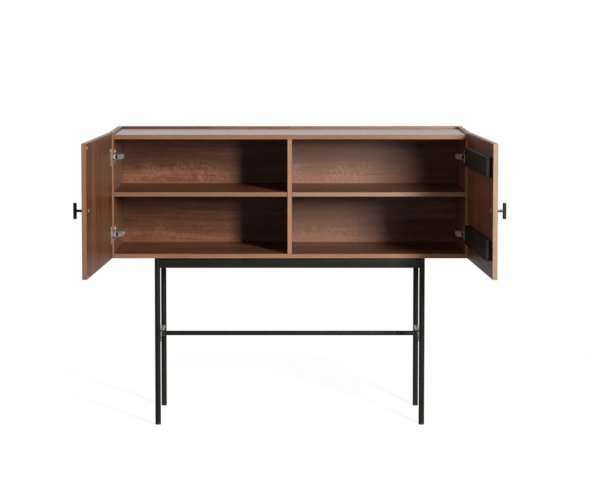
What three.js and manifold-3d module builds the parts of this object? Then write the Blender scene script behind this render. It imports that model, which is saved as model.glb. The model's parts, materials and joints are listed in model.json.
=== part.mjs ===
// A raised two-door credenza in walnut veneer on a black tubular steel frame.
// Millimetres, +Z up, +X to the right as seen from the front, +Y from front to back.
// The doors stand open. The origin is on the floor, at mid width, halfway between the
// free edges of the open doors and the back of the cabinet.

import * as THREE from 'three';
import { mergeVertices } from 'three/addons/utils/BufferGeometryUtils.js';
import Module from 'manifold-3d';

const wasm = await Module();
wasm.setup();

// Cabinet
const CABINET_WIDTH = 1200;
const CABINET_DEPTH = 400;
const CABINET_HEIGHT = 420;
const BOARD = 15; // sides, bottom, back, divider and shelves
const TOP_BOARD = 15;
const TRAY_DEPTH = 8; // the sides and the back stand this far above the top panel
const LOWER_COMPARTMENT = 191; // clear height under the shelves
const SHELF_SETBACK = 3;
const EDGE_EASE = 0.8; // chamfer along the edges of a board

// Steel frame
const FRAME_HEIGHT = 563;
const LEG_RADIUS = 9.5;
const LEG_SIDE_INSET = 158; // from the cabinet's sides to the leg centres
const LEG_INSET = 20; // from the cabinet's front and back to the leg centres
const TUBE_WALL = 1.5;
const RAIL_HEIGHT = 34;
const RAIL_WIDTH = 1.25 * LEG_RADIUS; // narrow enough for two rails to meet at a leg
const BAR_RADIUS = 8;
const BAR_HEIGHT = 283; // side bars and stretcher, above the floor
const GLIDE_HEIGHT = 7;
const GLIDE_SPIGOT = 17;
const WELD_GAP = 0.2; // between a coped tube end and the tube that it meets

// Doors
const DOOR_THICKNESS = 15;
const DOOR_REVEAL = 1; // cabinet showing round a closed door
const DOOR_GAP = 3; // between a closed door and the cabinet's front edges
const MEETING_GAP = 2; // between the two closed doors
const OPEN_ANGLE = THREE.MathUtils.degToRad(93);
const SEAT_GAP = 0.3; // between a door and what is fixed to it

// Concealed hinges, measured on a closed door
const HINGE_INSET = 80; // from the top and bottom of a door to a hinge
const PIVOT_FROM_EDGE = 5.2; // the axis that a door turns about
const PIVOT_FROM_FACE = 4;
const CUP_RADIUS = 17.5;
const CUP_DEPTH = 12.2;
const CUP_WALL = 0.7;
const CUP_FLOOR = 0.9;
const CUP_TAB = 3; // wood left between the cup and the door's edge
const FLANGE_THICKNESS = 1.2;
const FLANGE_RADIUS = 19.5;
const FLANGE_LENGTH = 60;
const FLANGE_WIDTH = 16;
const FLANGE_SCREW_SPACING = 45;
const FLANGE_SCREW_OFFSET = 9.5;
const FLANGE_SCREW_RADIUS = 2;
const PIN_RADIUS = 1.25;
const PIN_CLEARANCE = 0.15;
const CUP_PIN_FROM_EDGE = 9;
const CUP_PIN_DEPTH = 2;
const ARM_PIN_REACH = 14; // from the door's axis to the pin in the arm
const ARM_HALF_WIDTH = 8.5;
const ARM_HEIGHT = 24;
const ARM_SHEET = 2;
const ARM_SHOULDER = 16;
const ARM_END = 66;
const ARM_SCREW_RADIUS = 3;
const ADJUSTER_RADIUS = 2.6; // hole in the arm's slope for the side adjusting screw
const ADJUSTER_SETBACK = 4;
const NOSE_RADIUS = 2.2;
const WEB_START = -1; // where the arm's web begins behind its nose
const LINK_GAP = 0.5; // between the link's sides and the ears that hold it
const FORK_PLAY = 0.45;
const FORK_SLIDE = 2;
const FORK_PRONG = 0.9;
const FORK_TIP = 0.5;
const LUG_THICKNESS = 2.4;
const LUG_RADIUS = 2.2;
const PLATE_THICKNESS = 2;
const PLATE_SEAT = 6; // from the side panel to the top of the plate's ridge
const PLATE_START = 22;
const PLATE_LENGTH = 40;
const PLATE_WIDTH = 14;
const PLATE_WING_LENGTH = 52;
const PLATE_SCREW_SETBACK = 37;
const PLATE_SCREW_SPACING = 32;
const PLATE_SCREW_RADIUS = 2.5;
const RIDGE_WIDTH = 11;

// Handles
const HANDLE_FROM_EDGE = 38;
const HANDLE_STANDOFF = 26; // from the door to the middle of the bar
const GRIP_LENGTH = 50;
const GRIP_RADIUS = 5.65;
const GRIP_CHAMFER = 0.8;
const STEM_RADIUS = 4.2;
const STEM_SEAT = 4; // depth of the stem in the bar
const SCREW_RADIUS = 2;
const SCREW_HEAD_RADIUS = 4.5;
const SCREW_HEAD_HEIGHT = 2.2;
const SCREW_GRIP = 9; // thread inside the stem
const SCREW_CLEARANCE = 0.3;

// Dark rails on the inner face of the right door
const RAIL_START = 75; // from the door's hinge edge
const RAIL_END_INSET = 28; // from the door's free edge
const DOOR_RAIL_HEIGHT = 62;
const DOOR_RAIL_THICKNESS = 18;
const UPPER_RAIL_INSET = 43; // from the door's top to the rail's top
const LOWER_RAIL_INSET = 56; // from the door's bottom to the rail's bottom

// Round sections
const FINE = 32;
const COARSE = 20;

// Derived places
const HALF_WIDTH = CABINET_WIDTH / 2;
const INNER_HALF = HALF_WIDTH - BOARD;
const CABINET_TOP = FRAME_HEIGHT + CABINET_HEIGHT;
const FLOOR_TOP = FRAME_HEIGHT + BOARD;
const TOP_UNDERSIDE = CABINET_TOP - TRAY_DEPTH - TOP_BOARD;
const BACK_FACE = CABINET_DEPTH - BOARD;
const SHELF_UNDERSIDE = FLOOR_TOP + LOWER_COMPARTMENT;
const DOOR_EDGE = HALF_WIDTH - DOOR_REVEAL;
const DOOR_BOTTOM = FRAME_HEIGHT + DOOR_REVEAL;
const DOOR_TOP = CABINET_TOP - DOOR_REVEAL;
const DOOR_WIDTH = DOOR_EDGE - MEETING_GAP / 2;
const DOOR_INNER_FACE = -DOOR_GAP;
const DOOR_OUTER_FACE = -DOOR_GAP - DOOR_THICKNESS;
const OVERLAY = BOARD - DOOR_REVEAL;
const HINGES = { upper: DOOR_TOP - HINGE_INSET, lower: DOOR_BOTTOM + HINGE_INSET };
const SIDES = { left: -1, right: 1 };

// A hinge is drawn in plan: u runs from the side panel's inner face into the cabinet,
// and v runs from the cabinet's front edge towards the back.
const planX = (sign, u) => sign * (INNER_HALF - u);
const PIVOT = new THREE.Vector2(PIVOT_FROM_EDGE - OVERLAY, DOOR_INNER_FACE - PIVOT_FROM_FACE);
const CUP_PIN = new THREE.Vector2(CUP_PIN_FROM_EDGE - OVERLAY, DOOR_INNER_FACE - CUP_PIN_DEPTH);
const CUP_PIN_OPEN = CUP_PIN.clone().rotateAround(PIVOT, -OPEN_ANGLE);
const ARM_PIN = CUP_PIN.clone().rotateAround(PIVOT, -OPEN_ANGLE / 2).sub(PIVOT)
  .setLength(ARM_PIN_REACH).add(PIVOT);
const CUP_CENTRE = CUP_TAB + CUP_RADIUS - OVERLAY;

// The cabinet's front edge is set so that the object's box is centred on the origin.
const swing = new THREE.Vector2(PIVOT_FROM_EDGE - DOOR_WIDTH, DOOR_OUTER_FACE - PIVOT.y);
const inner = new THREE.Vector2(PIVOT_FROM_EDGE - DOOR_WIDTH, DOOR_INNER_FACE - PIVOT.y);
const origin = new THREE.Vector2();
const DOOR_REACH = PIVOT.y + Math.min(
  swing.rotateAround(origin, OPEN_ANGLE).y,
  inner.rotateAround(origin, OPEN_ANGLE).y,
);
const FRONT_Y = -(CABINET_DEPTH + DOOR_REACH) / 2;

// Materials
const walnut = { color: 0x7a4f37, roughness: 0.45, metalness: 0 };
const darkWood = { color: 0x231e18, roughness: 0.5, metalness: 0 };
const blackSteel = { color: 0x252624, roughness: 0.55, metalness: 0.2 };
const nickel = { color: 0xb9b4aa, roughness: 0.3, metalness: 1 };
const blackPlastic = { color: 0x1c1c1b, roughness: 0.7, metalness: 0 };

const credenza = new THREE.Group();
const cabinet = new THREE.Group();
cabinet.position.y = FRONT_Y;
credenza.add(cabinet);

function add(parent, name, geometry, finish) {
  const mesh = new THREE.Mesh(geometry, new THREE.MeshStandardMaterial(finish));
  mesh.name = name;
  parent.add(mesh);
  return mesh;
}

// Solids: a closed geometry becomes a manifold, is joined or cut, and comes back.
function solid(geometry) {
  const bare = geometry.clone();
  bare.deleteAttribute('normal');
  bare.deleteAttribute('uv');
  const merged = mergeVertices(bare, 1e-4);
  return new wasm.Manifold(new wasm.Mesh({
    numProp: 3,
    vertProperties: new Float32Array(merged.attributes.position.array),
    triVerts: new Uint32Array(merged.index.array),
  }));
}

function geometryOf(manifold) {
  const { vertProperties, triVerts } = manifold.getMesh();
  const geometry = new THREE.BufferGeometry();
  geometry.setAttribute('position', new THREE.BufferAttribute(vertProperties, 3));
  geometry.setIndex(new THREE.BufferAttribute(triVerts, 1));
  geometry.computeVertexNormals();
  return geometry;
}

const cut = (body, ...tools) =>
  geometryOf(tools.reduce((rest, tool) => rest.subtract(solid(tool)), solid(body)));
const join = (...bodies) =>
  geometryOf(bodies.map(solid).reduce((whole, body) => whole.add(body)));
const overlapOf = (first, second) => geometryOf(solid(first).intersect(solid(second)));

// A plain block between two corners.
function block(x0, x1, y0, y1, z0, z1) {
  const geometry = new THREE.BoxGeometry(Math.abs(x1 - x0), Math.abs(y1 - y0), Math.abs(z1 - z0));
  return geometry.translate((x0 + x1) / 2, (y0 + y1) / 2, (z0 + z1) / 2);
}

// A board with all its edges eased by a small chamfer.
function board(x0, x1, y0, y1, z0, z1) {
  const [left, right] = [Math.min(x0, x1), Math.max(x0, x1)];
  const e = EDGE_EASE;
  const outline = new THREE.Shape();
  outline.moveTo(left + e, y0);
  outline.lineTo(right - e, y0);
  outline.lineTo(right, y0 + e);
  outline.lineTo(right, y1 - e);
  outline.lineTo(right - e, y1);
  outline.lineTo(left + e, y1);
  outline.lineTo(left, y1 - e);
  outline.lineTo(left, y0 + e);
  const geometry = new THREE.ExtrudeGeometry(outline, {
    depth: z1 - z0 - 2 * e,
    bevelThickness: e,
    bevelSize: e,
    bevelOffset: -e,
    bevelSegments: 1,
  });
  return geometry.translate(0, 0, z0 + e);
}

// A round rod between two points.
function rod(from, to, radius, segments = FINE) {
  const start = new THREE.Vector3(...from);
  const run = new THREE.Vector3(...to).sub(start);
  const geometry = new THREE.CylinderGeometry(radius, radius, run.length(), segments);
  const up = new THREE.Vector3(0, 1, 0);
  geometry.applyQuaternion(new THREE.Quaternion().setFromUnitVectors(up, run.clone().normalize()));
  return geometry.translate(...start.addScaledVector(run, 0.5).toArray());
}

// A body of revolution about a vertical line, from [radius, height] pairs that start
// and end on the line.
function turned(profile, segments = FINE) {
  const points = profile.map(([radius, height]) => new THREE.Vector2(radius, height));
  return new THREE.LatheGeometry(points, segments).rotateX(Math.PI / 2);
}

// A flat outline of points, drawn in any of the three planes and given a thickness.
function extrude(outline, depth) {
  return new THREE.ExtrudeGeometry(outline, { depth, bevelEnabled: false, curveSegments: 8 });
}

const polygon = (points) => new THREE.Shape(points.map(([a, b]) => new THREE.Vector2(a, b)));

function slab(points, z0, z1) {
  return extrude(polygon(points), z1 - z0).translate(0, 0, z0);
}

function slabAlongX(outline, x0, x1) {
  const [low, high] = [Math.min(x0, x1), Math.max(x0, x1)];
  const y = new THREE.Vector3(0, 1, 0);
  const z = new THREE.Vector3(0, 0, 1);
  const x = new THREE.Vector3(1, 0, 0);
  const turn = new THREE.Matrix4().makeBasis(y, z, x);
  return extrude(outline, high - low).applyMatrix4(turn).translate(low, 0, 0);
}

// Carcass: two sides, a bottom, a recessed top and a back between them, a divider and
// one shelf in each bay.
for (const [side, sign] of Object.entries(SIDES)) {
  const outer = sign * HALF_WIDTH;
  const innerFace = sign * INNER_HALF;
  add(cabinet, `${side}_side_panel`,
    board(outer, innerFace, 0, CABINET_DEPTH, FRAME_HEIGHT, CABINET_TOP), walnut);
  add(cabinet, `${side}_shelf`,
    board(sign * BOARD / 2, innerFace, SHELF_SETBACK, BACK_FACE,
      SHELF_UNDERSIDE, SHELF_UNDERSIDE + BOARD), walnut);
}
add(cabinet, 'bottom_panel',
  board(-INNER_HALF, INNER_HALF, 0, BACK_FACE, FRAME_HEIGHT, FLOOR_TOP), walnut);
add(cabinet, 'top_panel',
  board(-INNER_HALF, INNER_HALF, 0, BACK_FACE, TOP_UNDERSIDE, TOP_UNDERSIDE + TOP_BOARD), walnut);
add(cabinet, 'back_panel',
  board(-INNER_HALF, INNER_HALF, BACK_FACE, CABINET_DEPTH, FRAME_HEIGHT, CABINET_TOP), walnut);
add(cabinet, 'centre_divider',
  board(-BOARD / 2, BOARD / 2, 0, BACK_FACE, FLOOR_TOP, TOP_UNDERSIDE), walnut);

// Steel frame: four round legs joined under the cabinet by a ring of flat tube rails,
// lower down by a round bar on each side, and by one stretcher between the bars.
const LEG_X = HALF_WIDTH - LEG_SIDE_INSET;
const LEG_Y = { front: LEG_INSET, rear: CABINET_DEPTH - LEG_INSET };
const LEG_BORE = LEG_RADIUS - TUBE_WALL;
const RAIL_BOTTOM = FRAME_HEIGHT - RAIL_HEIGHT;
const upright = (x, y, radius) => rod([x, y, 0], [x, y, CABINET_TOP], radius);

function tube(from, to, radius) {
  const start = new THREE.Vector3(...from);
  const end = new THREE.Vector3(...to);
  const past = end.clone().sub(start).setLength(radius);
  const bore = rod(start.clone().sub(past).toArray(), end.clone().add(past).toArray(),
    radius - TUBE_WALL);
  return cut(rod(from, to, radius), bore);
}

for (const [end, y] of Object.entries(LEG_Y)) {
  for (const [side, sign] of Object.entries(SIDES)) {
    const x = sign * LEG_X;
    add(cabinet, `${end}_${side}_leg`,
      tube([x, y, GLIDE_HEIGHT], [x, y, FRAME_HEIGHT], LEG_RADIUS), blackSteel);
    const spigot = LEG_BORE - SEAT_GAP;
    const glide = turned([[0, 0], [LEG_RADIUS - 1, 0], [LEG_RADIUS, 1], [LEG_RADIUS, GLIDE_HEIGHT],
      [spigot, GLIDE_HEIGHT], [spigot, GLIDE_SPIGOT - 1], [spigot - 1, GLIDE_SPIGOT],
      [0, GLIDE_SPIGOT]], COARSE);
    add(cabinet, `${end}_${side}_glide`, glide.translate(x, y, 0), blackPlastic);
  }
  const legs = [-1, 1].map((sign) => upright(sign * LEG_X, y, LEG_RADIUS + WELD_GAP));
  const rail = block(-LEG_X, LEG_X, y - RAIL_WIDTH / 2, y + RAIL_WIDTH / 2, RAIL_BOTTOM, FRAME_HEIGHT);
  const hollow = block(-HALF_WIDTH, HALF_WIDTH, y - RAIL_WIDTH / 2 + TUBE_WALL,
    y + RAIL_WIDTH / 2 - TUBE_WALL, RAIL_BOTTOM + TUBE_WALL, FRAME_HEIGHT - TUBE_WALL);
  const trimmed = solid(cut(rail, hollow, ...legs)).decompose()
    .sort((a, b) => b.volume() - a.volume())[0];
  add(cabinet, `${end}_rail`, geometryOf(trimmed), blackSteel);
}

for (const [side, sign] of Object.entries(SIDES)) {
  const x = sign * LEG_X;
  const legs = Object.values(LEG_Y).map((y) => upright(x, y, LEG_RADIUS + WELD_GAP));
  const rail = block(x - RAIL_WIDTH / 2, x + RAIL_WIDTH / 2, LEG_Y.front, LEG_Y.rear,
    RAIL_BOTTOM, FRAME_HEIGHT);
  const hollow = block(x - RAIL_WIDTH / 2 + TUBE_WALL, x + RAIL_WIDTH / 2 - TUBE_WALL,
    0, CABINET_DEPTH, RAIL_BOTTOM + TUBE_WALL, FRAME_HEIGHT - TUBE_WALL);
  const trimmed = solid(cut(rail, hollow, ...legs)).decompose()
    .sort((a, b) => b.volume() - a.volume())[0];
  add(cabinet, `${side}_rail`, geometryOf(trimmed), blackSteel);
  const bar = tube([x, LEG_Y.front, BAR_HEIGHT], [x, LEG_Y.rear, BAR_HEIGHT], BAR_RADIUS);
  add(cabinet, `${side}_side_bar`, cut(bar, ...legs), blackSteel);
}

const STRETCHER_Y = CABINET_DEPTH / 2;
const sideBars = [-1, 1].map((sign) => rod([sign * LEG_X, 0, BAR_HEIGHT],
  [sign * LEG_X, CABINET_DEPTH, BAR_HEIGHT], BAR_RADIUS + WELD_GAP));
add(cabinet, 'stretcher',
  cut(tube([-LEG_X, STRETCHER_Y, BAR_HEIGHT], [LEG_X, STRETCHER_Y, BAR_HEIGHT], BAR_RADIUS),
    ...sideBars), blackSteel);

// Concealed hinge, cabinet side: a cross-shaped plate on the side panel, and a pressed
// arm on the plate's ridge whose two ears hold a pin inside the cup when the door is shut.
const ARM_SEAT = PLATE_SEAT + SEAT_GAP;
const ARM_TOP = ARM_SEAT + ARM_HEIGHT;
const EAR_INNER = ARM_HALF_WIDTH - ARM_SHEET;
const LINK_HALF_WIDTH = EAR_INNER - LINK_GAP;

function hingePlate(sign, z) {
  const wing = PLATE_WING_LENGTH / 2;
  const half = PLATE_WIDTH / 2;
  const end = PLATE_START + PLATE_LENGTH;
  const setback = PLATE_SCREW_SETBACK;
  const outline = new THREE.Shape();
  outline.moveTo(PLATE_START, -half);
  outline.lineTo(setback - half, -half);
  outline.lineTo(setback - half, half - wing);
  outline.absarc(setback, half - wing, half, Math.PI, 2 * Math.PI);
  outline.lineTo(setback + half, -half);
  outline.lineTo(end - half, -half);
  outline.absarc(end - half, 0, half, -Math.PI / 2, Math.PI / 2);
  outline.lineTo(setback + half, half);
  outline.lineTo(setback + half, wing - half);
  outline.absarc(setback, wing - half, half, 0, Math.PI);
  outline.lineTo(setback - half, half);
  outline.lineTo(PLATE_START, half);
  for (const level of [-1, 1]) {
    const hole = new THREE.Path();
    hole.absarc(setback, level * PLATE_SCREW_SPACING / 2, PLATE_SCREW_RADIUS, 0, 2 * Math.PI);
    outline.holes.push(hole);
  }
  const plate = slabAlongX(outline, planX(sign, 0), planX(sign, PLATE_THICKNESS));
  const ridge = block(planX(sign, PLATE_THICKNESS / 2), planX(sign, PLATE_SEAT),
    PLATE_START, end, -RIDGE_WIDTH / 2, RIDGE_WIDTH / 2);
  return join(plate, ridge).translate(0, 0, z);
}

function hingeArm(sign, z) {
  const place = (points) => points.map(([u, v]) => [planX(sign, u), v]);
  const noseTop = ARM_PIN.x + NOSE_RADIUS;
  const rise = (ARM_TOP - noseTop) / (ARM_SHOULDER - ARM_PIN.y);
  const webAtStart = noseTop + rise * (WEB_START - ARM_PIN.y);
  const profile = place([
    [ARM_PIN.x - NOSE_RADIUS, ARM_PIN.y],
    [noseTop, ARM_PIN.y],
    [ARM_TOP, ARM_SHOULDER],
    [ARM_TOP, ARM_END],
    [ARM_SEAT, ARM_END],
    [ARM_SEAT, ARM_SHOULDER],
  ]);
  const channel = place([
    [-INNER_HALF, WEB_START],
    [webAtStart - ARM_SHEET, WEB_START],
    [ARM_TOP - ARM_SHEET, ARM_SHOULDER],
    [ARM_TOP - ARM_SHEET, ARM_END - ARM_SHEET],
    [-INNER_HALF, ARM_END - ARM_SHEET],
  ]);
  const pinX = planX(sign, ARM_PIN.x);
  const reach = ARM_HALF_WIDTH;
  const nose = rod([pinX, ARM_PIN.y, -reach], [pinX, ARM_PIN.y, reach], NOSE_RADIUS, COARSE);
  const gap = block(planX(sign, -ARM_END), planX(sign, ARM_END), -ARM_END, WEB_START,
    -EAR_INNER, EAR_INNER);
  const bore = rod([pinX, ARM_PIN.y, -2 * reach], [pinX, ARM_PIN.y, 2 * reach],
    PIN_RADIUS + PIN_CLEARANCE, COARSE);
  const hole = (v, radius) => rod([planX(sign, ARM_SEAT), v, 0], [planX(sign, 2 * ARM_TOP), v, 0],
    radius, COARSE);
  const holes = [hole(PLATE_SCREW_SETBACK, ARM_SCREW_RADIUS), hole(ADJUSTER_SETBACK, ADJUSTER_RADIUS)];
  const body = join(slab(profile, -reach, reach), nose);
  return cut(body, gap, slab(channel, -EAR_INNER, EAR_INNER), bore, ...holes).translate(0, 0, z);
}

function hingePin(sign, place, z, halfLength) {
  const x = planX(sign, place.x);
  return rod([x, place.y, z - halfLength], [x, place.y, z + halfLength], PIN_RADIUS, COARSE);
}

// The link turns on the arm's pin, and its forked end holds the cup's pin with room to
// slide, because a door on one plain axis stands in for the hinge's two links.
function hingeLink(sign, z) {
  const from = new THREE.Vector2(planX(sign, ARM_PIN.x), ARM_PIN.y);
  const run = new THREE.Vector2(planX(sign, CUP_PIN_OPEN.x), CUP_PIN_OPEN.y).sub(from);
  const slot = PIN_RADIUS + FORK_PLAY;
  const half = slot + FORK_PRONG;
  const tip = run.length() + FORK_TIP;
  const throat = run.length() - FORK_SLIDE;
  const outline = new THREE.Shape();
  outline.absarc(0, 0, NOSE_RADIUS, Math.PI / 2, 1.5 * Math.PI);
  outline.lineTo(throat - slot, -half);
  outline.lineTo(tip, -half);
  outline.lineTo(tip, -slot);
  outline.absarc(throat, 0, slot, 1.5 * Math.PI, Math.PI / 2, true);
  outline.lineTo(tip, slot);
  outline.lineTo(tip, half);
  outline.lineTo(throat - slot, half);
  const eye = new THREE.Path();
  eye.absarc(0, 0, PIN_RADIUS + PIN_CLEARANCE, 0, 2 * Math.PI);
  outline.holes.push(eye);
  return extrude(outline, 2 * LINK_HALF_WIDTH).rotateZ(run.angle())
    .translate(from.x, from.y, z - LINK_HALF_WIDTH);
}

// Concealed hinge, door side: a pressed cup let into the door, with a flange on the
// door's face and two lugs inside that hold its pin.
const CUP_MOUTH = DOOR_INNER_FACE + SEAT_GAP + FLANGE_THICKNESS;
const CUP_BOTTOM = DOOR_INNER_FACE - CUP_DEPTH;
const LUG_INNER = EAR_INNER;
const LUG_OUTER = LUG_INNER + LUG_THICKNESS;

function hingeCup(sign, z) {
  const centreX = planX(sign, CUP_CENTRE);
  const bowlRadius = CUP_RADIUS - CUP_WALL;
  const floor = CUP_BOTTOM + CUP_FLOOR;
  const along = (y0, y1, radius) => rod([centreX, y0, 0], [centreX, y1, 0], radius);
  const wing = FLANGE_LENGTH / 2;
  const screwX = planX(sign, CUP_CENTRE + FLANGE_SCREW_OFFSET);
  const flange = join(
    along(CUP_MOUTH - FLANGE_THICKNESS, CUP_MOUTH, FLANGE_RADIUS),
    block(screwX - FLANGE_WIDTH / 2, screwX + FLANGE_WIDTH / 2,
      CUP_MOUTH - FLANGE_THICKNESS, CUP_MOUTH, -wing, wing),
  );
  const shell = cut(join(along(CUP_BOTTOM, CUP_MOUTH, CUP_RADIUS), flange),
    along(floor, 2 * CUP_RADIUS, bowlRadius));
  const pinX = planX(sign, CUP_PIN.x);
  const post = [-1, 1].map((level) => join(
    block(pinX - LUG_RADIUS, pinX + LUG_RADIUS, CUP_BOTTOM + CUP_FLOOR / 2, CUP_PIN.y,
      level * LUG_INNER, level * LUG_OUTER),
    rod([pinX, CUP_PIN.y, level * LUG_INNER], [pinX, CUP_PIN.y, level * LUG_OUTER], LUG_RADIUS, COARSE),
  ));
  const room = along(CUP_BOTTOM, CUP_MOUTH, CUP_RADIUS - CUP_WALL / 2);
  const lugs = post.map((lug) => overlapOf(lug, room));
  const screws = [-1, 1].map((level) => level * FLANGE_SCREW_SPACING / 2).map((height) =>
    rod([screwX, DOOR_INNER_FACE, height], [screwX, 2 * CUP_RADIUS, height], FLANGE_SCREW_RADIUS, COARSE));
  const bore = rod([pinX, CUP_PIN.y, -LUG_OUTER - CUP_WALL], [pinX, CUP_PIN.y, LUG_OUTER + CUP_WALL],
    PIN_RADIUS + PIN_CLEARANCE, COARSE);
  return cut(join(shell, ...lugs), bore, ...screws).translate(0, 0, z);
}

// Handle: a short round bar on a stem, held by one screw from inside the door.
const GRIP_Y = DOOR_OUTER_FACE - HANDLE_STANDOFF;
const STEM_END = GRIP_Y + GRIP_RADIUS - STEM_SEAT;
const HANDLE_Z = (DOOR_TOP + DOOR_BOTTOM) / 2;

function handleBar(x) {
  const half = GRIP_LENGTH / 2;
  const neck = GRIP_RADIUS - GRIP_CHAMFER;
  const bar = turned([[0, -half], [neck, -half], [GRIP_RADIUS, GRIP_CHAMFER - half],
    [GRIP_RADIUS, half - GRIP_CHAMFER], [neck, half], [0, half]]);
  const seat = rod([x, STEM_END - SEAT_GAP, HANDLE_Z], [x, DOOR_OUTER_FACE, HANDLE_Z],
    STEM_RADIUS + SEAT_GAP / 2);
  return cut(bar.translate(x, GRIP_Y, HANDLE_Z), seat);
}

function handleStem(x) {
  const seat = DOOR_OUTER_FACE - SEAT_GAP;
  return cut(rod([x, STEM_END, HANDLE_Z], [x, seat, HANDLE_Z], STEM_RADIUS),
    rod([x, DOOR_OUTER_FACE - SCREW_GRIP - SEAT_GAP, HANDLE_Z], [x, 0, HANDLE_Z],
      SCREW_RADIUS + SEAT_GAP / 2, COARSE));
}

function handleScrew(x) {
  const seat = DOOR_INNER_FACE + SEAT_GAP;
  const length = seat - DOOR_OUTER_FACE + SCREW_GRIP;
  const screw = turned([[0, -length], [SCREW_RADIUS, -length], [SCREW_RADIUS, 0],
    [SCREW_HEAD_RADIUS, 0], [SCREW_HEAD_RADIUS, SCREW_HEAD_HEIGHT / 2],
    [SCREW_HEAD_RADIUS * 0.7, SCREW_HEAD_HEIGHT], [0, SCREW_HEAD_HEIGHT]], COARSE);
  return screw.rotateX(-Math.PI / 2).translate(x, seat, HANDLE_Z);
}

// Doors: each one, with all that is fixed to it, turns about its own upright axis.
for (const [side, sign] of Object.entries(SIDES)) {
  const pivotX = planX(sign, PIVOT.x);
  const door = new THREE.Group();
  door.position.set(pivotX, PIVOT.y, 0);
  door.rotation.z = sign * OPEN_ANGLE;
  cabinet.add(door);
  const addToDoor = (name, geometry, finish) =>
    add(door, name, geometry, finish).position.set(-pivotX, -PIVOT.y, 0);

  const cupX = planX(sign, CUP_CENTRE);
  const handleX = sign * (DOOR_EDGE - DOOR_WIDTH + HANDLE_FROM_EDGE);
  const bores = Object.values(HINGES).map((z) =>
    rod([cupX, CUP_BOTTOM - SEAT_GAP, z], [cupX, DOOR_THICKNESS, z], CUP_RADIUS + SEAT_GAP));
  const screwHole = rod([handleX, 2 * DOOR_OUTER_FACE, HANDLE_Z], [handleX, DOOR_THICKNESS, HANDLE_Z],
    SCREW_RADIUS + SCREW_CLEARANCE, COARSE);
  const leaf = board(sign * (DOOR_EDGE - DOOR_WIDTH), sign * DOOR_EDGE,
    DOOR_OUTER_FACE, DOOR_INNER_FACE, DOOR_BOTTOM, DOOR_TOP);
  addToDoor(`${side}_door`, cut(leaf, ...bores, screwHole), walnut);

  addToDoor(`${side}_handle_bar`, handleBar(handleX), blackSteel);
  addToDoor(`${side}_handle_stem`, handleStem(handleX), blackSteel);
  addToDoor(`${side}_handle_screw`, handleScrew(handleX), nickel);

  for (const [level, z] of Object.entries(HINGES)) {
    const hinge = `${side}_${level}_hinge`;
    add(cabinet, `${hinge}_plate`, hingePlate(sign, z), nickel);
    add(cabinet, `${hinge}_arm`, hingeArm(sign, z), nickel);
    add(cabinet, `${hinge}_arm_pin`, hingePin(sign, ARM_PIN, z, ARM_HALF_WIDTH), nickel);
    add(cabinet, `${hinge}_link`, hingeLink(sign, z), nickel);
    addToDoor(`${hinge}_cup`, hingeCup(sign, z), nickel);
    addToDoor(`${hinge}_cup_pin`, hingePin(sign, CUP_PIN, z, LUG_OUTER), nickel);
  }

  if (side === 'right') {
    const rails = {
      upper: DOOR_TOP - UPPER_RAIL_INSET - DOOR_RAIL_HEIGHT,
      lower: DOOR_BOTTOM + LOWER_RAIL_INSET,
    };
    const seat = DOOR_INNER_FACE + SEAT_GAP;
    for (const [level, z] of Object.entries(rails)) {
      addToDoor(`${level}_door_rail`,
        board(DOOR_EDGE - RAIL_START, DOOR_EDGE - DOOR_WIDTH + RAIL_END_INSET,
          seat, seat + DOOR_RAIL_THICKNESS, z, z + DOOR_RAIL_HEIGHT), darkWood);
    }
  }
}

export default credenza;
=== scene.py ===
import json
import math

import bmesh
import bpy
import numpy as np
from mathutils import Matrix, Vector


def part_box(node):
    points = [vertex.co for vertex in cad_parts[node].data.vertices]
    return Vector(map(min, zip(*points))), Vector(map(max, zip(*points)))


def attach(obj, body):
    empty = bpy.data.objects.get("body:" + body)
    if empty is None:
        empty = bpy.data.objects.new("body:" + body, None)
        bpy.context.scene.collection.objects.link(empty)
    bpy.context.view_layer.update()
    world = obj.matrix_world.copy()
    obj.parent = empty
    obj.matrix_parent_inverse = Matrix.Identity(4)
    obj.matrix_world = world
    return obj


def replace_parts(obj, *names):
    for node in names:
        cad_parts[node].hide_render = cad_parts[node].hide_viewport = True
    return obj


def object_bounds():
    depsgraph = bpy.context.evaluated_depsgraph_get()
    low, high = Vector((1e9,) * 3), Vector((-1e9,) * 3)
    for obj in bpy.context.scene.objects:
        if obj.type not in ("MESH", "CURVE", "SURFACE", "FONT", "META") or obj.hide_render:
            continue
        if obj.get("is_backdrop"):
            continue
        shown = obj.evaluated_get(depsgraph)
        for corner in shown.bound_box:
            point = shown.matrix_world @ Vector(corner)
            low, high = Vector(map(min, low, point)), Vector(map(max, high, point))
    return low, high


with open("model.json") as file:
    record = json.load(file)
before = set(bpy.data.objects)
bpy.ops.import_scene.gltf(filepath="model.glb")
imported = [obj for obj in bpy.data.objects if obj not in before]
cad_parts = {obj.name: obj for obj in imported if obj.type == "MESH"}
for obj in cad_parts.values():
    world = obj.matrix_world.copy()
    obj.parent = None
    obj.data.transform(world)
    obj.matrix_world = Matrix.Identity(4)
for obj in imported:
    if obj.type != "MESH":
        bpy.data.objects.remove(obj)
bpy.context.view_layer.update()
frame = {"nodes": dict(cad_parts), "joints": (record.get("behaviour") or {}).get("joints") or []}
nodes = frame["nodes"]

# Carcass boards: walnut veneer glued to board, taped along the front and rear edges, and
# sprayed with satin lacquer. The grain runs along X on the top, bottom, shelves and back, and
# up Z on the sides and the divider. The back is laid in leaves that are rippled near their foot,
# with painted sheen on the ripples and on the right bay's leaf, kept out of the cast shadows.


def rgb(text):
    """Linear RGBA of an sRGB hex colour: c / 12.92 below 0.04045, and above it
    ((c + 0.055) / 1.055) ** 2.4."""
    c = np.array([int(text[i : i + 2], 16) for i in (1, 3, 5)]) / 255
    linear = np.where(c < 0.04045, c / 12.92, ((c + 0.055) / 1.055) ** 2.4)
    return (*linear.tolist(), 1.0)


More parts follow.
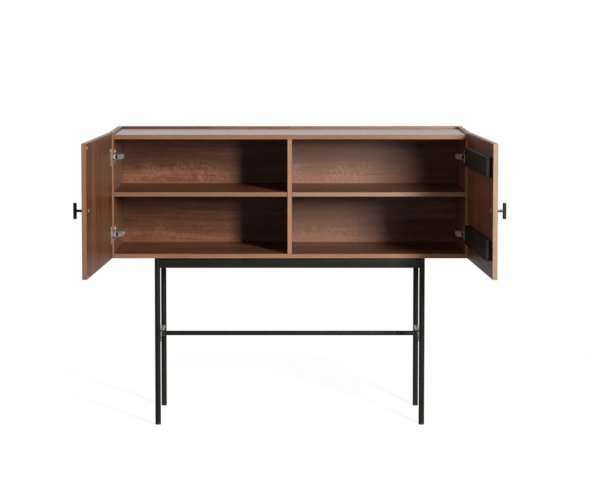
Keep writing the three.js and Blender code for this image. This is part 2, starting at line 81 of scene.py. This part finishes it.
def add(tree, kind, sockets=None, stops=(), **settings):
    """Adds one node and gives its outputs. Sockets maps an input to a value or to the output
    that feeds it, and stops are a ramp's positions with their hex colours."""
    made = tree.nodes.new("ShaderNode" + kind)
    for name, value in settings.items():
        setattr(made, name, value)
    for key, value in (sockets or {}).items():
        if isinstance(value, bpy.types.NodeSocket):
            tree.links.new(value, made.inputs[key])
        else:
            made.inputs[key].default_value = value
    for _ in stops[2:]:
        made.color_ramp.elements.new(0.5)
    for i, (position, colour) in enumerate(stops):
        made.color_ramp.elements[i].position = position
        made.color_ramp.elements[i].color = rgb(colour)
    return made.outputs


def new_material(name):
    """An empty node material and its tree."""
    material = bpy.data.materials.new(name)
    material.use_nodes = True
    material.node_tree.nodes.clear()
    return material, material.node_tree


# Settings of a Mix node (factor in socket 0, colours in 6 and 7, result in output 2) that
# darkens one colour by another, or lays the second colour over the first.
darken = {"data_type": "RGBA", "blend_type": "MULTIPLY"}
lay = {"data_type": "RGBA", "blend_type": "MIX"}


def rippled(tree, colour, place, bent, grain, fore, bays):
    """The leaves of the back, on the face towards the bays and away from each bay's right end,
    where the cast shadow falls. The right bay's leaf is painted paler there, as painted sheen of
    the lamp. The lower part of each bay has slanted ripples 5.5 mm apart and 16 mm long, in
    patches about 80 mm wide, whose pale crests are the wood's ripple figure with painted sheen on
    it, straight streaks 17 mm wide, and a pale line along the foot, all weaker in the lower bay.
    Bays are a floor, a height and a width."""
    floor, height, width = bays
    patches_per_m, ripples_per_m, streaks_per_m = 13.0, 180.0, 60.0
    lean, ripple_length, painted_sheen_share, lower_share = math.radians(-27), 3.0, 0.23, 0.45
    spot = add(tree, "SeparateXYZ", {0: place})
    inside = add(tree, "Math", {0: fore, 1: -0.5}, operation="LESS_THAN")[0]
    spans = add(tree, "Math", {0: spot["X"], 1: width}, operation="DIVIDE")[0]
    span = add(tree, "Math", {0: spans}, operation="FRACT")[0]
    # The cast shadow of the divider and of the right door, painted as a fade: the painted sheen
    # below stops from 0.5 to 0.72 of each bay's width.
    out_of_cast_shadow = add(tree, "MapRange", {"Value": span, "From Min": 0.72, "From Max": 0.5})[0]
    leaf = add(tree, "Math", {0: inside, 1: out_of_cast_shadow}, operation="MULTIPLY")[0]

    # Painted sheen: the right bay's leaf is painted paler on its lit part, for the lamp's sheen on
    # the lacquer.
    right = add(tree, "Math", {0: spot["X"], 1: 0.0}, operation="GREATER_THAN")[0]
    painted_sheen_leaf = add(tree, "Math", {0: leaf, 1: right}, operation="MULTIPLY")[0]
    share = add(tree, "Math", {0: painted_sheen_leaf, 1: painted_sheen_share}, operation="MULTIPLY")[0]
    colour = add(tree, "Mix", {0: share, 6: colour, 7: rgb("#b98a6c")}, **lay)[2]

    rise = {"Value": spot["Z"], "From Min": floor, "From Max": floor + height}
    storey = add(tree, "MapRange", rise, clamp=False)[0]
    part = add(tree, "Math", {0: storey}, operation="FRACT")[0]
    weaker = {"Value": storey, "From Min": 0.5, "From Max": 1.0, "To Min": lower_share}
    strength = add(tree, "MapRange", weaker)[0]
    shown = add(tree, "Math", {0: leaf, 1: strength}, operation="MULTIPLY")[0]
    stops = [(0.02, "#808080"), (0.08, "#ffffff"), (0.24, "#ffffff"), (0.42, "#000000")]
    strip = add(tree, "ValToRGB", {0: part}, stops)[0]

    patch = {"Vector": place, "Scale": patches_per_m, "Detail": 2.0}
    patch = add(tree, "TexNoise", patch)["Fac"]
    where = add(tree, "ValToRGB", {0: patch}, [(0.36, "#404040"), (0.6, "#ffffff")])[0]
    amount = add(tree, "Mix", {0: 1.0, 6: strip, 7: where}, **darken)[2]
    amount = add(tree, "Mix", {0: 1.0, 6: amount, 7: shown}, **darken)[2]
    slant = {"Vector": bent, "Rotation": (0, lean, 0), "Scale": (1.0, 1.0, ripple_length)}
    waves = add(tree, "Mapping", slant, vector_type="TEXTURE")[0]
    ripple = {"Vector": waves, "Scale": ripples_per_m, "Detail": 1.0}
    ripple = add(tree, "TexNoise", ripple)["Fac"]
    # The pale crests are the wood's ripple figure with painted sheen on it.
    figure_and_sheen_crests = add(tree, "ValToRGB", {0: ripple}, [(0.44, "#000000"), (0.62, "#a8a8a8")])[0]
    stroke = add(tree, "Mix", {0: 1.0, 6: amount, 7: figure_and_sheen_crests}, **darken)[2]
    colour = add(tree, "Mix", {0: stroke, 6: colour, 7: rgb("#c89a7a")}, **lay)[2]

    thin = {"Vector": grain, "Scale": streaks_per_m, "Detail": 1.0}
    thin = add(tree, "TexNoise", thin)["Fac"]
    rays = add(tree, "ValToRGB", {0: thin}, [(0.58, "#000000"), (0.66, "#787878")])[0]
    rays = add(tree, "Mix", {0: 1.0, 6: rays, 7: strip}, **darken)[2]
    stops = [(0.0, "#707070"), (0.02, "#707070"), (0.032, "#000000")]
    foot = add(tree, "ValToRGB", {0: part}, stops)[0]
    both = {0: 1.0, 6: rays, 7: foot}
    streaks = add(tree, "Mix", both, data_type="RGBA", blend_type="LIGHTEN")[2]
    streaks = add(tree, "Mix", {0: 1.0, 6: streaks, 7: shown}, **darken)[2]
    return add(tree, "Mix", {0: streaks, 6: colour, 7: rgb("#b98d6e")}, **lay)[2]


def walnut(name, along, tones, tape=None, rough=(0.36, 0.46), sheen=0.5, bays=None):
    """Sliced veneer under lacquer: dark pores and fine lines along the grain, with a soft sheen.
    Noise stretched 30 times along the grain gives bands 60 mm wide, figure 11 mm wide, fibre
    lines 1.6 mm wide and pores 0.8 mm wide. Fibres and pores are finer in life, and are drawn
    as coarse as they need to show. Tones are dark, middle and light, tape is the tone of the
    front and rear edges, and rough is the roughness between and on the fibre lines."""
    sways_per_m, sway_size, along_grain = 3.0, 0.016, 0.033
    bands_per_m, figure_per_m, fibres_per_m, pores_per_m = 17.0, 90.0, 620.0, 1250.0
    dark, middle, light = tones
    material, tree = new_material(name)
    place = add(tree, "TexCoord")["Object"]
    fore = add(tree, "SeparateXYZ", {0: add(tree, "TexCoord")["Normal"]})["Y"]
    sway = add(tree, "TexNoise", {"Vector": place, "Scale": sways_per_m, "Detail": 1.0})["Color"]
    bend = add(tree, "VectorMath", {0: sway, 1: (sway_size,) * 3}, operation="MULTIPLY")[0]
    bent = add(tree, "VectorMath", {0: place, 1: bend}, operation="ADD")[0]
    stretch = [along_grain if axis == along else 1.0 for axis in "XYZ"]
    grain = add(tree, "Mapping", {"Vector": bent, "Scale": stretch})[0]

    figure = {"Vector": grain, "Scale": figure_per_m, "Detail": 5.0, "Roughness": 0.65}
    figure = add(tree, "TexNoise", figure)["Fac"]
    colour = add(tree, "ValToRGB", {0: figure}, [(0.33, dark), (0.5, middle), (0.66, light)])[0]
    bands = add(tree, "TexNoise", {"Vector": grain, "Scale": bands_per_m, "Detail": 2.0})["Fac"]
    shade = add(tree, "ValToRGB", {0: bands}, [(0.36, "#d2c7be"), (0.62, "#ffffff")])[0]
    colour = add(tree, "Mix", {0: 1.0, 6: colour, 7: shade}, **darken)[2]
    fibres = {"Vector": grain, "Scale": fibres_per_m, "Detail": 3.0}
    fibres = add(tree, "TexNoise", fibres)["Fac"]
    lines = add(tree, "ValToRGB", {0: fibres}, [(0.34, "#b3a498"), (0.54, "#ffffff")])[0]
    colour = add(tree, "Mix", {0: 0.8, 6: colour, 7: lines}, **darken)[2]
    pores = add(tree, "TexNoise", {"Vector": grain, "Scale": pores_per_m, "Detail": 1.0})["Fac"]
    flecks = add(tree, "ValToRGB", {0: pores}, [(0.3, "#6f5a4c"), (0.4, "#ffffff")])[0]
    colour = add(tree, "Mix", {0: 0.7, 6: colour, 7: flecks}, **darken)[2]

    if bays:
        colour = rippled(tree, colour, place, bent, grain, fore, bays)
    if tape:
        square = add(tree, "Math", {0: fore}, operation="ABSOLUTE")[0]
        edge = add(tree, "ValToRGB", {0: square}, [(0.6, "#000000"), (0.8, "#bcbcbc")])[0]
        colour = add(tree, "Mix", {0: edge, 6: colour, 7: rgb(tape)}, **lay)[2]
    gloss = add(tree, "MapRange", {"Value": fibres, "To Min": rough[1], "To Max": rough[0]})[0]
    bump = add(tree, "Bump", {"Height": fibres, "Strength": 0.15, "Distance": 0.0002})[0]
    lacquer = {"Roughness": gloss, "Specular IOR Level": sheen, "Normal": bump}
    shader = add(tree, "BsdfPrincipled", {"Base Color": colour, **lacquer})[0]
    add(tree, "OutputMaterial", {"Surface": shader})
    return material


def dress(material, *names):
    """Gives CAD nodes a material."""
    for name in names:
        nodes[name].data.materials.clear()
        nodes[name].data.materials.append(material)


def box_of(name):
    """Lowest and highest corner of a CAD node, in metres."""
    low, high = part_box(name)
    return np.array(low), np.array(high)


bay_floor = box_of("bottom_panel")[1][2]
bay_height = box_of("left_shelf")[1][2] - bay_floor
bay_width = 0.585
bays = (bay_floor, bay_height, bay_width)
flat_tones = ("#6d4029", "#8e5a3c", "#a4704a")
back_tones = ("#69361c", "#864a25", "#9a5b31")
upright_tones = ("#764730", "#996346", "#af7955")
flat_tape, painted_light_tape, upright_tape = "#a57b5f", "#b88f74", "#b58a6a"
top_veneer = walnut("walnut_veneer_top", "X", flat_tones, flat_tape, rough=(0.24, 0.32))
flat_veneer = walnut("walnut_veneer_flat", "X", flat_tones, flat_tape)
# The right shelf's tape is painted paler than the other boards', as painted light on its edges.
painted_light_veneer = walnut("walnut_veneer_painted_light_edge", "X", flat_tones, painted_light_tape)
back_gloss = {"rough": (0.32, 0.4), "sheen": 0.75}
back_veneer = walnut("walnut_veneer_back", "X", back_tones, bays=bays, **back_gloss)
upright_veneer = walnut("walnut_veneer_upright", "Z", upright_tones, upright_tape)
dress(top_veneer, "top_panel")
dress(flat_veneer, "bottom_panel", "left_shelf")
dress(painted_light_veneer, "right_shelf")
dress(back_veneer, "back_panel")
dress(upright_veneer, "left_side_panel", "right_side_panel", "centre_divider")

# Stand: round steel legs, flat tube rails under the cabinet, two side bars and a stretcher,
# welded together, then sprayed with fine black powder and baked.


def smooth(mesh, sharp):
    """Shades a mesh smooth, but for edges that turn by more than sharp degrees."""
    mesh.polygons.foreach_set("use_smooth", np.ones(len(mesh.polygons), bool))
    mesh.set_sharp_from_angle(angle=math.radians(sharp))


def fit(name, mesh, body, material):
    """Makes a finished mesh a piece of a body and material."""
    mesh.materials.clear()
    mesh.materials.append(material)
    piece = bpy.data.objects.new(name, mesh)
    bpy.context.scene.collection.objects.link(piece)
    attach(piece, body)
    return piece


def skin(name, rings, body, material, sharp=35):
    """Closed skin over rings[i, j]: quads (i, j), (i, j+1), (i+1, j+1), (i+1, j) round every
    ring, and one face over the first ring and one over the last."""
    count, around = rings.shape[:2]
    i, j = np.meshgrid(np.arange(count - 1), np.arange(around), indexing="ij")
    k = (j + 1) % around
    corners = [i * around + j, i * around + k, (i + 1) * around + k, (i + 1) * around + j]
    quads = np.stack(corners, -1).reshape(-1, 4).tolist()
    ends = [list(range(around))[::-1], list(range((count - 1) * around, count * around))]
    mesh = bpy.data.meshes.new(name)
    mesh.from_pydata(rings.reshape(-1, 3).tolist(), [], quads + ends)
    smooth(mesh, sharp)
    return fit(name, mesh, body, material)


def turned(start, direction, profile, around=48):
    """Rings of a turned piece: start + t * direction + r * (cos a * u + sin a * v) for each
    pair (r, t) of the profile, with u and v square to the direction."""
    direction = np.array(direction, float) / np.linalg.norm(direction)
    u = np.cross(direction, (0, 0, 1.0) if abs(direction[2]) < 0.9 else (0, 1.0, 0))
    u /= np.linalg.norm(u)
    v = np.cross(direction, u)
    a = np.linspace(0, 2 * np.pi, around, endpoint=False)
    circle = np.cos(a)[:, None] * u + np.sin(a)[:, None] * v
    r, t = np.array(profile, float).T
    return np.array(start) + t[:, None, None] * direction + r[:, None, None] * circle


def powder(name, colour, pale):
    """Baked powder coat: deep black with a soft sheen, in clouds of tone 55 mm wide over a
    shallow grain. The grain is finer in life, and is drawn 0.7 mm wide so that it shows."""
    grains_per_m, clouds_per_m = 1400.0, 18.0
    material, tree = new_material(name)
    place = add(tree, "TexCoord")["Object"]
    grit = add(tree, "TexNoise", {"Vector": place, "Scale": grains_per_m, "Detail": 2.0})["Fac"]
    tone = add(tree, "TexNoise", {"Vector": place, "Scale": clouds_per_m, "Detail": 3.0})["Fac"]
    coat = add(tree, "ValToRGB", {0: tone}, [(0.35, colour), (0.65, pale)])[0]
    gloss = add(tree, "MapRange", {"Value": tone, "To Min": 0.25, "To Max": 0.31})[0]
    bump = add(tree, "Bump", {"Height": grit, "Strength": 0.02, "Distance": 0.0001})[0]
    baked = {"Roughness": gloss, "Specular IOR Level": 0.5, "Normal": bump}
    shader = add(tree, "BsdfPrincipled", {"Base Color": coat, **baked})[0]
    add(tree, "OutputMaterial", {"Surface": shader})
    return material


black_powder = powder("black_powder_coat", "#161714", "#1c1d19")
up = (0, 0, 1)
leg_ease = 0.0005
for end in ("front", "rear"):
    for side in ("left", "right"):
        low, high = box_of(f"{end}_{side}_leg")
        leg_r = (high[0] - low[0]) / 2
        foot = [(low[0] + high[0]) / 2, (low[1] + high[1]) / 2, low[2]]
        profile = [(leg_r - leg_ease, 0), (leg_r, leg_ease), (leg_r, high[2] - low[2])]
        rings = turned(foot, up, profile)
        leg = skin(f"{end}_{side}_leg_tube", rings, "carcass", black_powder)
        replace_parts(leg, f"{end}_{side}_leg")

# A rail's outline is four quarter circles, turned by 90 degrees each, set in from its corners.
rail_corner = 0.0018
a = np.linspace(0, np.pi / 2, 7)
quarter = np.stack([np.cos(a), np.sin(a)], -1) * rail_corner
turns = [np.array([[c, -s], [s, c]]) for c, s in ((1, 0), (0, 1), (-1, 0), (0, -1))]
signs = np.array([[1, 1], [-1, 1], [-1, -1], [1, -1]])
for name in ("front_rail", "rear_rail", "left_rail", "right_rail"):
    low, high = box_of(name)
    along = int(np.argmax(high - low))
    wide = 1 - along
    inset = (high - low)[[wide, 2]] / 2 - rail_corner
    outline = np.concatenate([quarter @ t.T + s * inset for t, s in zip(turns, signs)])
    rings = np.zeros((2, len(outline), 3)) + (low + high) / 2
    rings[0, :, along], rings[1, :, along] = low[along], high[along]
    rings[:, :, wide] += outline[:, 0]
    rings[:, :, 2] += outline[:, 1]
    if along == 0:
        rings = rings[::-1]
    rail = skin(f"{name}_tube", rings, "carcass", black_powder)
    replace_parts(rail, name)

# Each end of a bar flares into a weld bead, which runs out from the tube that it meets. The
# ring after the bead keeps the bead's bend out of the shading of the straight run.
bead_rise, bead_shoulder, shoulder_run, bead_run, straight = 0.0022, 0.0008, 0.0012, 0.003, 0.004
for name in ("left_side_bar", "right_side_bar", "stretcher"):
    low, high = box_of(name)
    along = int(np.argmax(high - low))
    bar_r = (high[2] - low[2]) / 2
    start = (low + high) / 2
    start[along] = low[along]
    run = high[along] - low[along]
    met = leg_r if name != "stretcher" else bar_r
    flare = [(bar_r + bead_rise, 0), (bar_r + bead_rise, met)]
    flare += [(bar_r + bead_shoulder, met + shoulder_run)]
    flare += [(bar_r, met + bead_run), (bar_r, met + straight)]
    profile = flare + [(r, run - t) for r, t in flare[::-1]]
    rings = turned(start, np.eye(3)[along], profile)
    bar = skin(f"{name}_tube", rings, "carcass", black_powder)
    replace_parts(bar, name)

# Foot glides: moulded black plastic discs, pushed into the legs from below. The profile goes
# up from the floor: a rounded foot, a straight side, a rounded rim and a neck in the tube.


def plastic(name, colour, pale):
    """Moulded plastic: an even matte skin with a 1 mm grain."""
    grains_per_m = 900.0
    material, tree = new_material(name)
    place = add(tree, "TexCoord")["Object"]
    grain = add(tree, "TexNoise", {"Vector": place, "Scale": grains_per_m, "Detail": 2.0})["Fac"]
    shade = add(tree, "ValToRGB", {0: grain}, [(0.35, colour), (0.65, pale)])[0]
    bump = add(tree, "Bump", {"Height": grain, "Strength": 0.2, "Distance": 0.0001})[0]
    moulded = {"Base Color": shade, "Roughness": 0.55, "Normal": bump}
    shader = add(tree, "BsdfPrincipled", moulded)[0]
    add(tree, "OutputMaterial", {"Surface": shader})
    return material


glide_plastic = plastic("black_glide_plastic", "#191918", "#222221")
rim = box_of("front_left_leg")[0][2]
glide = [(leg_r - 0.0013, 0), (leg_r - 0.0004, 0.0004), (leg_r, 0.0013), (leg_r, rim - 0.0012)]
glide += [(leg_r - 0.0005, rim - 0.0004), (leg_r - 0.0019, rim), (leg_r - 0.002, rim + 0.008)]
for end in ("front", "rear"):
    for side in ("left", "right"):
        low, high = box_of(f"{end}_{side}_glide")
        rings = turned([(low[0] + high[0]) / 2, (low[1] + high[1]) / 2, 0.0], up, glide)
        name = f"{end}_{side}_glide_disc"
        disc = skin(name, rings, "carcass", glide_plastic)
        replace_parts(disc, f"{end}_{side}_glide")

# Doors: boards in the same veneer with its grain upright, taped on their edges and hung on
# two hinges each. The right door's tones are painted lighter than the left's, as painted light
# on its shaded inner face, and its tape is painted greyer, as painted light on the edge that
# faces the front.
left_tones = ("#562d1b", "#794830", "#96623f")
right_tones_painted_light = ("#64361f", "#8b5539", "#a9724b")
left_gloss = {"rough": (0.32, 0.4), "sheen": 0.35}
right_gloss = {"rough": (0.32, 0.4), "sheen": 0.25}
dress(walnut("walnut_veneer_left_door", "Z", left_tones, "#aa7c5d", **left_gloss), "left_door")
dress(walnut("walnut_veneer_right_door", "Z", right_tones_painted_light, "#a5957b", **right_gloss), "right_door")

# Dark rails: two strips of wood, stained black-brown and glued across the right door's inner
# face, with the grain along the strip and the arrises eased.


def merged(node):
    """A CAD node's mesh to work on, with its doubles merged and its flat regions joined."""
    work = bmesh.new()
    work.from_mesh(nodes[node].data)
    bmesh.ops.remove_doubles(work, verts=work.verts, dist=1e-6)
    bmesh.ops.dissolve_limit(work, angle_limit=0.002, verts=work.verts, edges=work.edges)
    return work


rail_ease = 0.0009
rail_tones = ("#27241c", "#353127", "#413a2f")
rail_gloss = {"rough": (0.5, 0.6), "sheen": 0.05}
# The near-black tape paints the rails' end faces dark: painted shade where the door's edge shades
# them.
rail_stain = walnut("dark_stained_wood", "Y", rail_tones, "#080604", **rail_gloss)
for name in ("upper_door_rail", "lower_door_rail"):
    work = merged(name)
    eased = {"offset": rail_ease, "segments": 2, "profile": 0.5, "affect": "EDGES"}
    bmesh.ops.bevel(work, geom=work.edges[:], **eased)
    mesh = bpy.data.meshes.new(f"{name}_eased")
    work.to_mesh(mesh)
    work.free()
    piece = fit(f"{name}_eased", mesh, "right_door_leaf", rail_stain)
    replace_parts(piece, name)

# Concealed hinges: pressed steel with a satin nickel plate, screwed to the sides and let into
# the doors. A small screw in the slope of each arm sets the door sideways.


def plated(name, colour, pale):
    """Nickel plate on rolled steel: a warm pale grey with a soft gleam, in streaks 3 mm wide
    and five times as long."""
    streaks_per_m, across_roll = 350.0, 0.2
    material, tree = new_material(name)
    place = add(tree, "TexCoord")["Object"]
    rolled = add(tree, "Mapping", {"Vector": place, "Scale": (1.0, across_roll, 1.0)})[0]
    streak = {"Vector": rolled, "Scale": streaks_per_m, "Detail": 3.0}
    streak = add(tree, "TexNoise", streak)["Fac"]
    shade = add(tree, "ValToRGB", {0: streak}, [(0.35, colour), (0.65, pale)])[0]
    gloss = add(tree, "MapRange", {"Value": streak, "To Min": 0.26, "To Max": 0.36})[0]
    plate = {"Base Color": shade, "Roughness": gloss, "Metallic": 0.7}
    shader = add(tree, "BsdfPrincipled", plate)[0]
    add(tree, "OutputMaterial", {"Surface": shader})
    return material


nickel = plated("satin_nickel_plate", "#b9b3a6", "#d7d2c6")


def smooth_copy(node, body, material):
    """A merged copy of a CAD node with its round regions shaded smooth, in the node's place."""
    work = merged(node)
    mesh = bpy.data.meshes.new(f"{node}_smooth")
    work.to_mesh(mesh)
    work.free()
    smooth(mesh, 35)
    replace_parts(fit(f"{node}_smooth", mesh, body, material), node)


def screw_head(name, seat, outward, radius, height, body):
    """A pan head, height * (0.35 + 0.65 * sqrt(1 - (r / radius) ** 4)) high, less a cross recess
    0.6 height deep, whose two bars are 0.44 radius wide and 1.24 radius long."""
    core = [0.02, 0.1, 0.16, 0.22, 0.28, 0.36, 0.46, 0.56]
    r = radius * np.array(core + [0.62, 0.7, 0.8, 0.9, 0.96, 1.0, 1.0])
    dome = height * (0.35 + 0.65 * np.sqrt(1 - np.minimum(r / radius, 1) ** 4))
    dome[-1] = 0
    rings = turned(seat, outward, np.stack([r, dome], -1))
    a = np.linspace(0, 2 * np.pi, rings.shape[1], endpoint=False)
    x, y = np.abs(r[:, None] * np.cos(a)), np.abs(r[:, None] * np.sin(a))
    slope = 0.08 * radius
    width = np.clip((0.22 * radius - np.minimum(x, y)) / slope, 0, 1)
    length = np.clip((0.62 * radius - np.maximum(x, y)) / slope, 0, 1)
    depth = 0.6 * height * width * length
    rings = (rings - depth[:, :, None] * np.array(outward, float))[::-1]
    skin(name, rings, body, nickel, 50)


front = box_of("centre_divider")[0][1]
door_joints = {joint["child"]: joint for joint in frame["joints"]}


def on_door(side, x, y, z):
    """Seat and outward direction of a fitting on a door's inner face. Its place on the shut
    door is turned about the hinge's axis by the angle that the joint can still close."""
    joint = door_joints[f"{side}_door_leaf"]
    pivot = np.array(joint["pos_m"])
    angle = -math.radians(joint["range_deg"][0]) * joint["axis"][2]
    c, s = math.cos(angle), math.sin(angle)
    turn = np.array([[c, s, 0], [-s, c, 0], [0, 0, 1]])
    seat, ahead = (pivot + (np.array((x, y + d, z)) - pivot) @ turn for d in (0, 1))
    return seat, ahead - seat


# Sizes of the screw heads as (radius, height), and how far each screw stands from the side's
# inner face, behind the cabinet's front, or above and below the middle of its hinge.
plate_head, arm_head = (0.0042, 0.0019), (0.0045, 0.0018)
side_head, cup_head = (0.0025, 0.0014), (0.0036, 0.0016)
plate_face, side_screw_in, cup_screw_in = 0.002, 0.0174, 0.016
plate_screw_back, side_screw_back, cup_face = 0.037, 0.004, -0.0015
plate_screw_rise, cup_screw_rise = 0.016, 0.0225
for side, sign in (("left", -1), ("right", 1)):
    leaf = f"{side}_door_leaf"
    wall = sign * abs(box_of("right_side_panel")[0][0])
    inward = (-sign, 0, 0)
    for level in ("upper", "lower"):
        hinge = f"{side}_{level}_hinge"
        for part in ("plate", "arm", "arm_pin"):
            smooth_copy(f"{hinge}_{part}", "carcass", nickel)
        for part in ("cup", "cup_pin"):
            smooth_copy(f"{hinge}_{part}", leaf, nickel)
        smooth_copy(f"{hinge}_link", f"{hinge}_knuckle", nickel)
        low, high = box_of(f"{hinge}_arm")
        z = (low[2] + high[2]) / 2
        arm_top = low[0] if sign > 0 else high[0]
        for end, turn in (("top", 1), ("base", -1)):
            lift = turn * plate_screw_rise
            seat = (wall - sign * plate_face, front + plate_screw_back, z + lift)
            screw_head(f"{hinge}_plate_screw_{end}", seat, inward, *plate_head, "carcass")
        seat = (arm_top, front + plate_screw_back, z)
        screw_head(f"{hinge}_arm_screw", seat, inward, *arm_head, "carcass")
        seat = (wall - sign * side_screw_in, front + side_screw_back, z)
        screw_head(f"{hinge}_side_screw", seat, inward, *side_head, "carcass")
        for end, turn in (("top", 1), ("base", -1)):
            x, lift = wall - sign * cup_screw_in, turn * cup_screw_rise
            seat, outward = on_door(side, x, front + cup_face, z + lift)
            screw_head(f"{hinge}_cup_screw_{end}", seat, outward, *cup_head, leaf)

# Handles: a short round steel bar on a stem, in the same black powder as the stand, held by a
# plated screw from inside. The ends of the bar are rounded over.
handle_powder = powder("black_handle_coat", "#161616", "#1e1e1d")
for side in ("left", "right"):
    leaf = f"{side}_door_leaf"
    low, high = box_of(f"{side}_handle_bar")
    start = [(low[0] + high[0]) / 2, (low[1] + high[1]) / 2, low[2]]
    run = high[2] - low[2]
    bar_r = (high[0] - low[0]) / 2
    nose = [(bar_r - 0.0012, 0), (bar_r - 0.0004, 0.0003), (bar_r, 0.0012), (bar_r, 0.0018)]
    rings = turned(start, up, nose + [(r, run - t) for r, t in nose[::-1]])
    grip = skin(f"{side}_handle_grip", rings, leaf, handle_powder)
    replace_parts(grip, f"{side}_handle_bar")
    smooth_copy(f"{side}_handle_stem", leaf, handle_powder)
    smooth_copy(f"{side}_handle_screw", leaf, nickel)

# Door bumpers: small clear grey domes, moulded and stuck to the free corners of each door's
# inner face, where they meet the cabinet's top and bottom edges.
bumper_plastic = plastic("clear_grey_bumper", "#93908a", "#a09d96")
dome = [(0.0050, 0), (0.0050, 0.0006), (0.0045, 0.0013)]
dome += [(0.0035, 0.0018), (0.0018, 0.0022), (0.0002, 0.0023)]
bumper_in, bumper_face, upper_drop, lower_rise = 0.016, -0.003, 0.0145, 0.0075
for side, sign in (("left", -1), ("right", 1)):
    low, high = box_of(f"{side}_door")
    for level, z in (("upper", high[2] - upper_drop), ("lower", low[2] + lower_rise)):
        seat, outward = on_door(side, sign * bumper_in, front + bumper_face, z)
        rings = turned(seat, outward, dome, 32)
        name = f"{side}_{level}_bumper"
        skin(name, rings, f"{side}_door_leaf", bumper_plastic)

# Studio: a white floor and sweep, a dim room on the camera's side, one tall strip lamp from the
# front right and a weak fill from the front left, seen by a long lens from a little above.


def white_seen(tree, depth, near, far, most):
    """How much of the white a ray sees: all of it from the camera, and from lacquer, metal and
    glass up to most as the depth goes from near to far. Also gives those mirrored rays."""
    path = add(tree, "LightPath")
    shiny = {0: path["Is Glossy Ray"], 1: path["Is Transmission Ray"]}
    mirror = add(tree, "Math", shiny, operation="MAXIMUM")[0]
    back = {"Value": depth, "From Min": near, "From Max": far, "To Max": most}
    behind = add(tree, "MapRange", back)[0]
    sweep = add(tree, "Math", {0: mirror, 1: behind}, operation="MULTIPLY")[0]
    seen = add(tree, "Math", {0: path["Is Camera Ray"], 1: sweep}, operation="MAXIMUM")[0]
    return seen, mirror


floor_material, tree = new_material("white_studio_floor")
place = add(tree, "TexCoord")["Object"]
depth = add(tree, "SeparateXYZ", {0: place})["Y"]
seen, _ = white_seen(tree, depth, -0.4, 0.6, 0.4)
reach = add(tree, "VectorMath", {0: place}, operation="LENGTH")["Value"]
away = {"Value": reach, "From Min": 0.9, "From Max": 2.2}
strength = add(tree, "MapRange", {**away, "To Min": 0.86, "To Max": 1.0})[0]
glow = add(tree, "Emission", {"Color": rgb("#ffffff"), "Strength": strength})[0]
share = add(tree, "MapRange", away)[0]
shaded = add(tree, "ValToRGB", {0: share}, [(0.0, "#8c8c8c"), (1.0, "#000000")])[0]
shadowed = add(tree, "BsdfDiffuse", {"Color": shaded})[0]
shown = add(tree, "AddShader", {0: glow, 1: shadowed})[0]
plain = add(tree, "BsdfDiffuse", {"Color": rgb("#6e6e6e")})[0]
mixed = add(tree, "MixShader", {0: seen, 1: plain, 2: shown})[0]
add(tree, "OutputMaterial", {"Surface": mixed})
floor_mesh = bpy.data.meshes.new("studio_floor")
floor_corners = [(-40, -40, 0), (40, -40, 0), (40, 60, 0), (-40, 60, 0)]
floor_mesh.from_pydata(floor_corners, [], [(0, 1, 2, 3)])
floor_mesh.materials.append(floor_material)
floor = bpy.data.objects.new("studio_floor", floor_mesh)
bpy.context.scene.collection.objects.link(floor)
floor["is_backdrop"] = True

ambient, dim = 0.32, 0.02
world = bpy.data.worlds.new("white_studio")
bpy.context.scene.world = world
world.use_nodes = True
tree = world.node_tree
tree.nodes.clear()
depth = add(tree, "SeparateXYZ", {0: add(tree, "TexCoord")["Generated"]})["Y"]
seen, mirror = white_seen(tree, depth, 0.15, 0.45, 1.0)
room = add(tree, "MapRange", {"Value": mirror, "To Min": ambient, "To Max": dim})[0]
level = add(tree, "Math", {0: room, 1: seen}, operation="MAXIMUM")[0]
sky = add(tree, "Background", {"Color": rgb("#ffffff"), "Strength": level})[0]
add(tree, "OutputWorld", {"Surface": sky})


def lamp(name, place, target, width, height, power):
    """An upright area lamp at place that faces target."""
    light = bpy.data.lights.new(name, "AREA")
    light.shape = "RECTANGLE"
    light.size = width
    light.size_y = height
    light.energy = power
    made = bpy.data.objects.new(name, light)
    made.location = place
    toward = np.array(target) - np.array(place)
    flat = math.hypot(toward[0], toward[1])
    made.rotation_euler = (math.atan2(flat, -toward[2]), 0, math.atan2(-toward[0], toward[1]))
    made.visible_camera = False
    bpy.context.scene.collection.objects.link(made)


lamp("strip_softbox", (1.64, -3.35, 1.74), (0.1, 0.2, 0.9), width=0.45, height=1.2, power=179)
lamp("left_fill_card", (-2.6, -3.6, 1.3), (0.3, 0.2, 0.8), width=1.2, height=1.2, power=14)

sensor_mm, frame_px, focal_px, pitch_degrees = 36, 590, 2216.8, 4.576
camera_data = bpy.data.cameras.new("camera")
camera_data.sensor_width = sensor_mm
camera_data.lens = sensor_mm * focal_px / frame_px
camera_data.shift_x = 0.00892
camera_data.shift_y = -0.11
camera = bpy.data.objects.new("camera", camera_data)
camera.location = (0, -7.2420, 1.3938)
camera.rotation_euler = (math.radians(90 - pitch_degrees), 0, 0)
bpy.context.scene.collection.objects.link(camera)
bpy.context.scene.camera = camera
bpy.context.scene.view_settings.view_transform = "Standard"

low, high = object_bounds()
